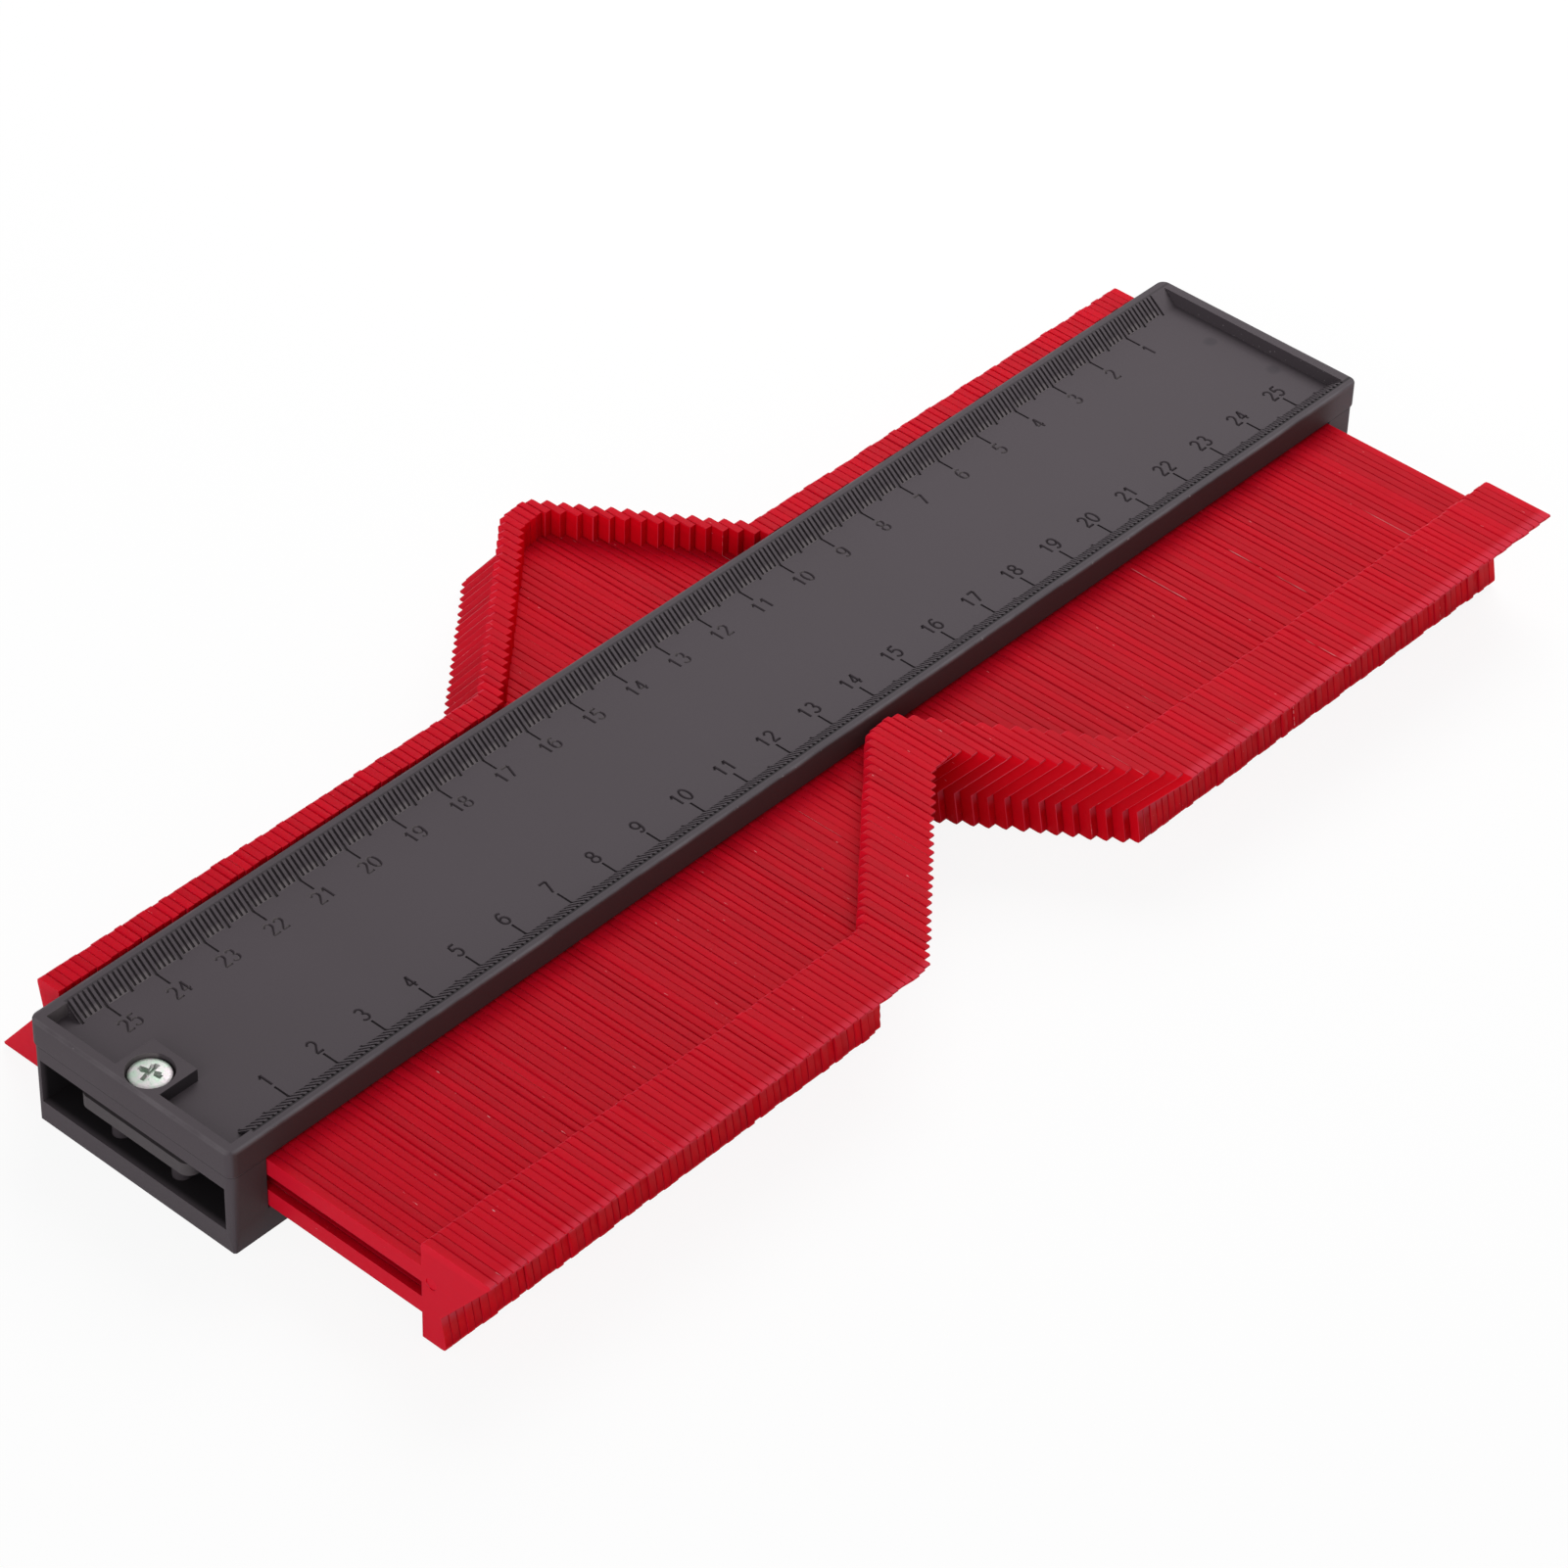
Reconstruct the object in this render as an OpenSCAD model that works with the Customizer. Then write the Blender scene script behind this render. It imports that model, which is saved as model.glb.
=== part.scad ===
// Contour gauge: a row of thin slotted teeth that slide across a ruled body.
// Sizes are in millimetres. X runs along the body, Y across it and Z up.
// The origin is the middle of the body's underside.

/* [Teeth] */
// Number of tooth groups in the row
group_count = 41; // [20:1:50]
// Number of teeth that slide together in one group
teeth_per_group = 4; // [1:1:6]
// Thickness of one tooth along the row
tooth_t = 1.46; // [1:0.02:2.4]
// Free space between neighbouring teeth
tooth_gap = 0.08; // [0.04:0.01:0.3]
// Height over the two bars of a tooth
bar_h = 9.4; // [8:0.1:12]
// Height of the slot between the two bars
slot_h = 3; // [2.8:0.1:5]
// Height of a head
head_h = 19.4; // [15:0.1:24]
// Reach of the beak from the head's inner face
beak_l = 14.2; // [8:0.1:24]
// Depth of the head at its heel, the end away from the beak
heel_l = 5; // [3:0.1:8]
// Depth of the head at its waist, where the undercut of the beak ends
waist_l = 3.8; // [2:0.1:7]
// Height of the waist from the heel end of the head
waist_h = 6.2; // [3:0.1:9]
// Distance from a rounded head corner to where its rounding starts
head_round = 1.1; // [0.4:0.1:1.6]
// The same distance at the tip of the beak
tip_round = 0.4; // [0.2:0.1:1]
// Travel of a single tooth from stop to stop
travel = 32.5; // [10:0.1:60]

/* [Rest profile] */
// Distance of the pulled-out teeth from their near stop, left of the notch
left_slack = 1.05; // [0.1:0.05:3]
// Distance of the pulled-out teeth from their near stop, right of the notch
right_slack = 0.25; // [0.1:0.05:3]
// Distance of the pushed-in teeth from their far stop
far_slack = 1.05; // [0.1:0.05:3]
// Largest random shift of one tooth against its neighbours
rest_scatter = 0.15; // [0:0.05:0.6]
// Left foot of the pressed-in notch, along the row
notch_foot_left = -32; // [-100:0.5:-10]
// Left end of the flat top of the notch
notch_top_left = 4.5; // [-8:0.5:6]
// Right end of the flat top of the notch
notch_top_right = 9.8; // [7:0.1:20]
// Right foot of the notch
notch_foot_right = 31.3; // [22:0.1:100]

/* [Body] */
// Width of the body across the teeth
body_w = 43.6; // [42:0.2:60]
// Height of the top cover with its rim
cover_h = 5.2; // [4.4:0.1:8]
// Height of the base plate under the teeth
base_h = 5.1; // [4.8:0.1:8]
// Depth of the recess in both outer faces
recess_d = 2.4; // [1:0.1:2.6]
// Width of the flat rim around the recess
rim_w = 2; // [1:0.1:4]
// Width of the slopes that carry the rules
slope_w = 3; // [2:0.1:6]
// Distance of the slopes from the rim at the screw end
slope_start = 4; // [1:0.1:8]
// Radius of the upright corners of the body
corner_r = 1.6; // [0.5:0.1:2.5]
// Step by which the tray stands back from the edge of the cover
tray_inset = 0.2; // [0.1:0.05:0.6]
// Inward lean of the tray's lower edge
base_draft = 0.3; // [0.1:0.1:1.5]

/* [End chambers] */
// Thickness of the chamber's outer walls
wall_t = 1.7; // [1:0.1:2.4]
// Thickness of the wall between the chamber and the teeth
partition_t = 1.2; // [0.8:0.1:2.4]
// Length of the chamber along the body
chamber_l = 4; // [3.6:0.1:8]
// Height of the window's sill above the underside
sill_z = 4.4; // [4:0.1:4.8]
// Height of the bar across the top of the window
lintel_h = 2.7; // [1:0.1:3]

/* [Spine] */
// Width of the spine that threads all the tooth slots
spine_w = 24; // [20:0.2:28]
// Thickness of the spine
spine_t = 2.4; // [1.6:0.1:2.5]
// Corner radius of the spine's ends
spine_corner_r = 2; // [0.5:0.1:4]
// Distance of the spine's ends behind the end faces
spine_setback = 0.4; // [0.1:0.1:1.5]

/* [Screw, pad and pegs] */
// Distance of the screw from the end face
screw_inset = 4.5; // [4.2:0.1:5]
// Diameter of the screw's head
screw_head_d = 6.9; // [5:0.1:7.2]
// Height of the screw's head in the middle
screw_head_h = 2.1; // [1.5:0.1:2.4]
// Radius of the dome on the screw's head
screw_dome_r = 14; // [8:0.5:30]
// Diameter of the screw's shank
screw_d = 2.9; // [2:0.1:3.2]
// Length of the screw's point below the spine
screw_point_l = 1.2; // [0.5:0.1:2]
// Diameter of the screw's blunt tip
screw_tip_d = 1; // [0.4:0.1:1.8]
// Width across the arms of the cross recess
cross_l = 4.2; // [2:0.1:4.5]
// Width of one arm of the cross recess
cross_w = 0.9; // [0.5:0.1:1.2]
// Depth of the cross recess
cross_depth = 1.3; // [0.5:0.1:1.4]
// Length of the screw pad from the inside of the rim
pad_l = 7.6; // [7:0.1:10]
// Width of the screw pad
pad_w = 9.6; // [8.6:0.1:14]
// Diameter of the pegs that pin the cover, spine and tray together
peg_d = 3; // [2:0.1:3.4]
// Distance of the pegs from the middle of the body
peg_y = 6.5; // [5:0.1:9]
// Depth to which the pegs enter the tray's floor
peg_seat = 1.2; // [0.6:0.1:1.4]
// Diameter of the stubs that guide the edges of the spine
stub_d = 2.2; // [1.4:0.1:3]

/* [Fits] */
// Clearance below and above the bars of the teeth
bar_clear = 0.45; // [0.2:0.05:0.8]
// Clearance between a head and the body at the stop
stop_gap = 0.15; // [0.12:0.01:0.5]
// Clearance between the row of teeth and the partitions
stack_gap = 0.2; // [0.12:0.02:0.6]
// Height of the spine's middle above the middle of the slots
spine_lift = 0.12; // [0:0.02:0.14]
// Clearance around the spine where it passes the partitions
spine_fit = 0.12; // [0.05:0.01:0.3]
// Clearance around a peg in the spine, on the radius
peg_fit = 0.15; // [0.05:0.01:0.3]
// Clearance around and below a peg in the tray's floor, on the radius
peg_seat_fit = 0.05; // [0.02:0.01:0.1]
// Clearance around the shank in the cover and tray, on the radius
screw_fit = 0.3; // [0.1:0.05:0.5]
// Clearance around the shank in the spine, on the radius
thread_fit = 0.05; // [0.02:0.01:0.1]
// Gap around the screw's head, on the radius
head_fit = 0.4; // [0.2:0.05:0.5]

/* [Hidden] */
body_colour = [0.33, 0.31, 0.32];
tooth_colour = [0.74, 0.1, 0.18];
spine_colour = [0.27, 0.25, 0.26];
screw_colour = [0.82, 0.82, 0.8];
$fn = 48;
// Flat facets along a rounded corner of a head, and at the tip of the beak
round_steps = 3;
tip_steps = 1;
// Stretch and turn per tooth of the sine that scatters the resting teeth
scatter_stretch = 43.7;
scatter_turn = 137.5;
// Overlap that fuses joined shapes and clears cut faces
fuse = 0.5;

tooth_count = group_count * teeth_per_group;
tooth_pitch = tooth_t + tooth_gap;
stack_l = tooth_count * tooth_pitch - tooth_gap;
// Distance between the inner faces of a tooth's two heads
inner_l = body_w + travel + 2 * stop_gap;

// End faces and walls, from the middle outwards
partition_x = stack_l / 2 + stack_gap;
chamber_x = partition_x + partition_t;
wall_x = chamber_x + chamber_l;
tray_l = 2 * (wall_x + wall_t);
tray_w = body_w - 2 * tray_inset;
body_l = tray_l + 2 * tray_inset;
chamber_mid_x = chamber_x + chamber_l / 2;
chamber_w = tray_w - 2 * wall_t;

// Heights, from the underside upwards
tooth_mid_z = base_h + bar_clear + bar_h / 2;
spine_mid_z = tooth_mid_z + spine_lift;
spine_top_z = spine_mid_z + spine_t / 2;
spine_low_z = spine_mid_z - spine_t / 2;
cover_z = base_h + bar_h + 2 * bar_clear;
body_h = cover_z + cover_h;

screw_x = screw_inset - body_l / 2;
head_seat_z = body_h - screw_head_h - head_fit / 2;
spine_l = body_l - 2 * spine_setback;
stub_y = spine_w / 2 + spine_fit + stub_d / 2;

// Where the teeth rest: pulled out beside the notch and pushed in at its top
left_y = left_slack - travel / 2;
right_y = right_slack - travel / 2;
in_y = travel / 2 - far_slack;

function tooth_x(i) = (i - (tooth_count - 1) / 2) * tooth_pitch;

function ramp(x, x0, x1) = min(1, max(0, (x - x0) / (x1 - x0)));

// Share of the push-in at a place along the row: 0 beside the notch, 1 at its top
function push(x) =
    min(ramp(x, notch_foot_left, notch_top_left), ramp(-x, -notch_foot_right, -notch_top_right));

// A steady pseudo-random share from 0 to 1 for each tooth
function share(i) = let (s = scatter_stretch * sin(scatter_turn * (i + 1))) s - floor(s);

// Resting place of a tooth across the body, within its stops
function rest_y(i) =
    let (out_y = tooth_x(i) < notch_top_left ? left_y : right_y)
    let (level = out_y + (in_y - out_y) * push(tooth_x(i)))
    let (shifted = level + rest_scatter * (2 * share(i) - 1))
    min(travel / 2, max(-travel / 2, shifted));

function group_name(g) = str("tooth_group_", g < 10 ? "0" : "", g);

// A flat plate with rounded upright corners, its underside at zero
module rounded_plate(l, w, r, h) {
    linear_extrude(h) {
        square([l - 2 * r, w], center = true);
        square([l, w - 2 * r], center = true);
        for (x = [-1, 1], y = [-1, 1])
            translate([x * (l / 2 - r), y * (w / 2 - r)])
                circle(r);
    }
}

// Extrudes a shape drawn in Y and Z along X, from x0 to x1
module along_x(x0, x1) {
    translate([x0, 0, 0])
        rotate([90, 0, 90])
            linear_extrude(x1 - x0)
                children();
}

// Extrudes a shape drawn in X and Z along Y, centred
module along_y(w) {
    rotate([90, 0, 0])
        linear_extrude(w, center = true)
            children();
}

// A block centred across the body, between given ends and heights
module block(x0, x1, w, z0, z1) {
    translate([x0, -w / 2, z0])
        cube([x1 - x0, w, z1 - z0]);
}

// A plate with a rimmed recess in its top and a sloped strip for a rule along each side
module ruled_plate(l, w, h) {
    rim_x = l / 2 - rim_w;
    rim_y = w / 2 - rim_w;
    floor_z = h - recess_d;
    difference() {
        rounded_plate(l, w, corner_r, h);
        block(-rim_x, rim_x, 2 * rim_y, floor_z, h + fuse);
    }
    for (side = [-1, 1])
        along_x(slope_start - rim_x, rim_x + fuse)
            polygon([
                [side * (rim_y + fuse), floor_z - fuse],
                [side * (rim_y + fuse), h],
                [side * rim_y, h],
                [side * (rim_y - slope_w), floor_z],
                [side * (rim_y - slope_w), floor_z - fuse]
            ]);
}

// Puts pegs or stubs in all four places, the same distance from the middle of the body
module at_four(y) {
    for (x = [-1, 1], side = [-1, 1])
        translate([x * chamber_mid_x, side * y, 0])
            children();
}

module top_cover() {
    color(body_colour)
        difference() {
            union() {
                translate([0, 0, cover_z])
                    ruled_plate(body_l, body_w, cover_h);
                block(rim_w - fuse - body_l / 2, rim_w + pad_l - body_l / 2, pad_w, cover_z + fuse, body_h);
                at_four(peg_y)
                    translate([0, 0, sill_z - peg_seat + peg_seat_fit])
                        cylinder(d = peg_d, h = cover_z + fuse - sill_z + peg_seat - peg_seat_fit);
                at_four(stub_y)
                    translate([0, 0, spine_low_z])
                        cylinder(d = stub_d, h = cover_z + fuse - spine_low_z);
            }
            translate([screw_x, 0, head_seat_z])
                cylinder(d = screw_head_d + 2 * head_fit, h = body_h);
            translate([screw_x, 0, cover_z - fuse])
                cylinder(d = screw_d + 2 * screw_fit, h = cover_h);
        }
}

// The tray's outline, leaning in below the sill
module tray_envelope() {
    intersection() {
        rounded_plate(tray_l, tray_w, corner_r, cover_z);
        along_x(-tray_l / 2, tray_l / 2)
            leaning_side(tray_w / 2);
        along_y(tray_w)
            leaning_side(tray_l / 2);
    }
}

module leaning_side(half) {
    polygon([
        [base_draft - half, 0],
        [half - base_draft, 0],
        [half, sill_z],
        [half, cover_z],
        [-half, cover_z],
        [-half, sill_z]
    ]);
}

// What is cut from the end of the tray towards +X: chamber, window, spine slot and peg sockets
module end_cuts() {
    block(chamber_x, wall_x, chamber_w, sill_z, cover_z + fuse);
    block(wall_x - fuse, wall_x + wall_t + fuse, chamber_w, sill_z, cover_z - lintel_h);
    block(partition_x - fuse, chamber_x + fuse, spine_w + 2 * spine_fit,
        spine_low_z - spine_fit, spine_top_z + spine_fit);
    for (side = [-1, 1])
        translate([chamber_mid_x, side * peg_y, sill_z - peg_seat])
            cylinder(d = peg_d + 2 * peg_seat_fit, h = peg_seat + fuse);
}

module bottom_tray() {
    color(body_colour)
        difference() {
            intersection() {
                union() {
                    translate([0, 0, base_h])
                        mirror([0, 0, 1])
                            ruled_plate(tray_l, tray_w, base_h);
                    for (turn = [0, 180])
                        rotate(turn)
                            block(partition_x, tray_l / 2, tray_w, base_h - fuse, cover_z);
                }
                tray_envelope();
            }
            for (turn = [0, 180])
                rotate(turn)
                    end_cuts();
            translate([screw_x, 0, spine_mid_z])
                cylinder(d = screw_d + 2 * screw_fit, h = body_h);
        }
}

module spine_bar() {
    color(spine_colour)
        difference() {
            translate([0, 0, spine_low_z])
                rounded_plate(spine_l, spine_w, spine_corner_r, spine_t);
            at_four(peg_y)
                translate([0, 0, spine_low_z - fuse])
                    cylinder(d = peg_d + 2 * peg_fit, h = spine_t + 2 * fuse);
            translate([screw_x, 0, spine_low_z - fuse])
                cylinder(d = screw_d + 2 * thread_fit, h = spine_t + 2 * fuse);
        }
}

module clamp_screw() {
    color(screw_colour)
        translate([screw_x, 0, 0])
            difference() {
                union() {
                    intersection() {
                        translate([0, 0, head_seat_z])
                            cylinder(d = screw_head_d, h = screw_head_h);
                        translate([0, 0, head_seat_z + screw_head_h - screw_dome_r])
                            sphere(screw_dome_r);
                    }
                    translate([0, 0, spine_low_z])
                        cylinder(d = screw_d, h = head_seat_z + fuse - spine_low_z);
                    translate([0, 0, spine_low_z - screw_point_l])
                        cylinder(d1 = screw_tip_d, d2 = screw_d, h = screw_point_l);
                }
                for (turn = [0, 90])
                    rotate(turn)
                        block(-cross_l / 2, cross_l / 2, cross_w, head_seat_z + screw_head_h - cross_depth, body_h);
            }
}

function unit(v) = v / norm(v);

// Points of a curve that rounds a corner off, from a given distance before it to the same distance after it
function round_corner(before, corner, after, run, steps) = [
    for (k = [0 : steps])
        let (s = k / steps)
        corner + run * (pow(1 - s, 2) * unit(before - corner) + pow(s, 2) * unit(after - corner))
];

// One head, on the -Y end of a tooth, with its beak at the top
module head_profile() {
    inner_y = -inner_l / 2;
    top = [inner_y, head_h / 2];
    tip = [inner_y - beak_l, head_h / 2];
    waist = [inner_y - waist_l, waist_h - head_h / 2];
    heel = [inner_y - heel_l, -head_h / 2];
    heel_inner = [inner_y, -head_h / 2];
    polygon(concat(
        round_corner(heel_inner, top, tip, head_round, round_steps),
        round_corner(top, tip, waist, tip_round, tip_steps),
        [waist],
        round_corner(waist, heel, heel_inner, head_round, round_steps),
        [heel_inner]
    ));
}

// The side view of a tooth: two bars around a slot, and two heads turned half round from each other
module tooth_profile() {
    difference() {
        union() {
            square([inner_l + waist_l, bar_h], center = true);
            head_profile();
            rotate(180)
                head_profile();
        }
        square([inner_l, slot_h], center = true);
    }
}

module tooth() {
    along_x(-tooth_t / 2, tooth_t / 2)
        tooth_profile();
}

module tooth_group(g) {
    first = (g - 1) * teeth_per_group;
    color(tooth_colour)
        for (i = [first : first + teeth_per_group - 1])
            translate([tooth_x(i), rest_y(i), tooth_mid_z])
                tooth();
}

top_cover();
bottom_tray();
spine_bar();
clamp_screw();
for (g = [1 : group_count]) {
    tooth_group(g);
}
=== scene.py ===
import math

import bmesh
import bpy
from mathutils import Matrix, Vector


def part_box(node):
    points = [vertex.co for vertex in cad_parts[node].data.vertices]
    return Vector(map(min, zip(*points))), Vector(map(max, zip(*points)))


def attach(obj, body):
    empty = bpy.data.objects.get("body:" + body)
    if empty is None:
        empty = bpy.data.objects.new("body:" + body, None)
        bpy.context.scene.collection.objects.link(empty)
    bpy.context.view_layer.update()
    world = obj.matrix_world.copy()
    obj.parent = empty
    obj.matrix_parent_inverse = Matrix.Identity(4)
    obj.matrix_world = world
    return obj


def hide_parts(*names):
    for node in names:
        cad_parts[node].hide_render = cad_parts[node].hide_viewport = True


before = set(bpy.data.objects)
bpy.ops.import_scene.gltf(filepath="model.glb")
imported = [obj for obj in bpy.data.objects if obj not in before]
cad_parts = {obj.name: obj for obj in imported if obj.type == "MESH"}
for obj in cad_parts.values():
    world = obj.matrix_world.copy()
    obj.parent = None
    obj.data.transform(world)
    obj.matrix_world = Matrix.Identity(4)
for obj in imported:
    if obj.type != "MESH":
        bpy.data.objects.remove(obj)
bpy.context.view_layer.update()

# Lengths below are in millimetres and become metres through MM
MM = 0.001

# Copies of the built parts: points this close become one, and triangles this flat become one face
MERGE_GAP = 0.002
FLAT_ANGLE = math.radians(0.3)

# Shape of the ruled cover, as built
RIM_W = 2.0
SLOPE_W = 3.0
SLOPE_START = 4.0
RECESS_D = 2.4

# The rules: where each one starts, and the marks engraved in the slopes and the floor
NEAR_ZERO_X = -127.085
FAR_ZERO_X = 127.793
NUMBERS = 25
MARK_W = 0.48
MARK_DEPTH = 0.3
MARK_RUN_OUT = 0.9
MARK_FOOT = 0.3
LONG_FOOT = -0.2
FLOOR_MARK_L = 3.0
FLOOR_MARK_W = 0.4
FLOOR_MARK_DEPTH = 0.25
DIGIT_H = 2.75
DIGIT_W = 1.4
DIGIT_STEP = 2.0
DIGIT_GAP = 0.6
DIGIT_STROKE = 0.5
DIGIT_DEPTH = 0.34
DIGIT_LIFT = 0.01
DIGIT_MERGE = 0.0005
PROUD = 1.0

# Strokes of the numbers: degrees from point to point of a bow, and when a bow closes into a loop
BOW_STEP = 26
BOW_END = 360 - BOW_STEP
LOOP_GAP = 0.25
LOOP_POINTS = 8

# Eased edges of the mouldings: their widths, and how near the body's faces its outer edges lie
OUTER_ROUND = 0.4
INNER_ROUND = 0.15
TOOTH_ROUND = (0.05, 0.21)
FIRST_ROUND = 0.34
SHARP_ANGLE = math.radians(50)
EDGE_BAND = 0.6
CORNER_BAND = 1.7

# The row of teeth, and how far each one is lifted or dropped
GROUPS = 41
TEETH_PER_GROUP = 4
TOOTH_COUNT = GROUPS * TEETH_PER_GROUP
TOOTH_UNEVEN = 0.07
UNEVEN_TURN = 2.4

# The teeth of the pressed-in notch that stand in bare steps, from one place along the row to another
STEPPED_X = (8.5, 33.0)

# The ejector pin's round mark on the outer side of the first tooth
PIN_MARK_Y = -55.4
PIN_MARK_Z = 12.6
PIN_MARK_R = 1.1
PIN_MARK_DEPTH = 0.15

# The clamp screw: its head, its shank, and the turn, length, width and depth of each cut of its worn recess
SCREW_HEAD_R = 3.45
SCREW_DOME_R = 14.0
SCREW_DOME_STEPS = 6
SCREW_RIM_ROUND = 0.12
SCREW_RIM_DROP = 0.2
SCREW_SEAT_Z = 18.3
SCREW_R = 1.45
SCREW_ROOT_R = 1.15
SCREW_TIP_R = 0.5
SCREW_POINT_L = 1.2
SCREW_STEPS = 48
SEAM_MERGE = 0.001
THREAD_START = 0.6
THREAD_PITCH = 0.8
CROSS_TAPER = 0.55
CROSS_CUTS = ((12, 5.6, 1.2, 0.9), (30, 4.8, 1.0, 0.5))

# The end chambers of the tray, seen through their windows
CHAMBER_Z = 15.4
WINDOW_HALF_W = 19.95
WINDOW_FOOT_Z = 4.35
PAD_HALF_W = 4.8
PEG_X = 129.64
PEG_Y = 6.5
SINK_MARKS = ((127.3, 5.7), (128.4, -7.4))

# The photograph's camera
VIEW_AZIMUTH = math.radians(-49.127)
VIEW_ELEVATION = math.radians(39.985)
VIEW_ROLL = math.radians(1.995)
VIEW_DISTANCE = 877.576
VIEW_TARGET = (-13.462, -21.298, 18.2)
VIEW_LENS = 127.96

# The light: an even sky, and for each soft lamp its place and width in metres, its power in watts and
# whether it shows in a gloss. The shadow on the floor is kept whole as far as SHADOW_REACH, and the floor's
# half width is in metres
SKY_LEVEL = 0.36
SHADOW_REACH = 400.0
FLOOR_HALF_M = 4.0
SOFTBOXES = {
    "key_softbox": ((0.42, 0.2, 0.56), 0.55, 3.7, True),
    "left_softbox": ((-1.1, -0.4, 0.4), 0.9, 6.2, False),
}


def box_of(node):
    """Corners of a node in millimetres."""
    low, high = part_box(node)
    return low / MM, high / MM


cover_high = box_of("top_cover")[1]
HALF_L = cover_high.x
HALF_W = cover_high.y
TOP_Z = cover_high.z
FLOOR_Z = TOP_Z - RECESS_D
RIM_X = HALF_L - RIM_W
RIM_Y = HALF_W - RIM_W
SLOPE_FOOT_Y = RIM_Y - SLOPE_W
SLOPE_ANGLE = math.atan2(RECESS_D, SLOPE_W)
SLOPE_LENGTH = math.hypot(RECESS_D, SLOPE_W)

first_low, first_high = box_of("tooth_group_01")
last_high = box_of(f"tooth_group_{GROUPS:02d}")[1]
ROW_START = first_low.x
ROW_END = last_high.x
ROW_TIP_Y = first_low.y
HEAD_TOP_Z = first_high.z
TOOTH_PITCH = (ROW_END - ROW_START) / TOOTH_COUNT


class Value:
    """One output of a node tree. Arithmetic on it adds Math nodes."""

    def __init__(self, finish, socket):
        self.finish = finish
        self.socket = socket

    def __add__(self, other):
        return self.finish.math("ADD", self, other)

    def __radd__(self, other):
        return self.finish.math("ADD", other, self)

    def __sub__(self, other):
        return self.finish.math("SUBTRACT", self, other)

    def __rsub__(self, other):
        return self.finish.math("SUBTRACT", other, self)

    def __mul__(self, other):
        return self.finish.math("MULTIPLY", self, other)

    def __rmul__(self, other):
        return self.finish.math("MULTIPLY", other, self)

    def __truediv__(self, other):
        return self.finish.math("DIVIDE", self, other)

    def __abs__(self):
        return self.finish.math("ABSOLUTE", self)

    def lesser(self, other):
        return self.finish.math("MINIMUM", self, other)

    def greater(self, other):
        return self.finish.math("MAXIMUM", self, other)

    def floor(self):
        return self.finish.math("FLOOR", self)

    def rise(self, low, high):
        """0 at low and 1 at high, smooth between them; it falls where low is above high."""
        return self.finish.node(
            "ShaderNodeMapRange",
            {"interpolation_type": "SMOOTHSTEP"},
            {"Value": self, "From Min": low, "From Max": high},
        )


class Finish:
    """A material in the making, or the world's light."""

    def __init__(self, owner, shader="Principled BSDF"):
        owner.use_nodes = True
        self.owner = owner
        self.tree = owner.node_tree
        self.shader = self.tree.nodes[shader]

    def node(self, kind, settings, inputs, output=0):
        made = self.tree.nodes.new(kind)
        for name, value in settings.items():
            setattr(made, name, value)
        for key, value in inputs.items():
            self.feed(made.inputs[key], value)
        return Value(self, made.outputs[output])

    def feed(self, socket, value):
        if isinstance(value, Value):
            self.tree.links.new(value.socket, socket)
        else:
            socket.default_value = value

    def set(self, inputs):
        """Values of the shader by the names of its inputs."""
        for name, value in inputs.items():
            self.feed(self.shader.inputs[name], value)

    def math(self, operation, *values):
        return self.node("ShaderNodeMath", {"operation": operation}, dict(enumerate(values)))

    def place(self):
        """Where a point lies on the object, in metres."""
        return self.node("ShaderNodeTexCoord", {}, {}, output="Object")

    def axes(self):
        """X, Y and Z of a point, in millimetres."""
        scaled = self.shade(self.place(), 1 / MM)
        return [self.node("ShaderNodeSeparateXYZ", {}, {0: scaled}, output=k) for k in range(3)]

    def facing(self, axis):
        """How far the surface faces along an axis of the object, from -1 to 1."""
        normal = self.node("ShaderNodeTexCoord", {}, {}, output="Normal")
        return self.node("ShaderNodeSeparateXYZ", {}, {0: normal}, output=axis)

    def noise(self, grain, detail=2.0, stretch=(1, 1, 1)):
        """Soft noise with grains of a given size in millimetres, longer along a stretched axis."""
        scale = [1 / (grain * MM * k) for k in stretch]
        spread = self.node("ShaderNodeVectorMath", {"operation": "MULTIPLY"}, {0: self.place(), 1: scale})
        return self.node("ShaderNodeTexNoise", {}, {"Vector": spread, "Scale": 1.0, "Detail": detail})

    def seen(self):
        """1 where the camera sees it, also in a gloss or through a clear piece, and 0 for bounced light."""
        kinds = ("Is Camera Ray", "Is Glossy Ray", "Is Transmission Ray")
        straight, glossy, clear = [self.node("ShaderNodeLightPath", {}, {}, output=kind) for kind in kinds]
        return straight.greater(glossy).greater(clear)

    def chance(self, number):
        """A steady random share for each whole number."""
        return self.node("ShaderNodeTexWhiteNoise", {"noise_dimensions": "1D"}, {"W": number})

    def mix(self, share, first, second):
        return self.node("ShaderNodeMix", {"data_type": "RGBA"}, {0: share, 6: first, 7: second}, output=2)

    def shade(self, colour, factor):
        """A colour made darker or lighter, or a place scaled, by a factor."""
        return self.node("ShaderNodeVectorMath", {"operation": "SCALE"}, {0: colour, "Scale": factor})

    def bump(self, height, depth):
        """A normal from a height of 0 to 1, with a depth in millimetres."""
        return self.node("ShaderNodeBump", {}, {"Height": height, "Distance": depth * MM, "Strength": 1.0})


def linear(red, green, blue):
    """A colour of the screen, 0 to 255, as a shader's colour."""
    def part(c):
        c /= 255
        return c / 12.92 if c <= 0.04045 else ((c + 0.055) / 1.055) ** 2.4
    return (part(red), part(green), part(blue), 1.0)


def soft_spot(x, y, spot):
    """1 in the middle of a soft round spot on the floor of the recess, and 0 around it."""
    across, along = x - spot[0], y - spot[1]
    return (across * across + along * along).rise(2.6, 0.1)


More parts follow.
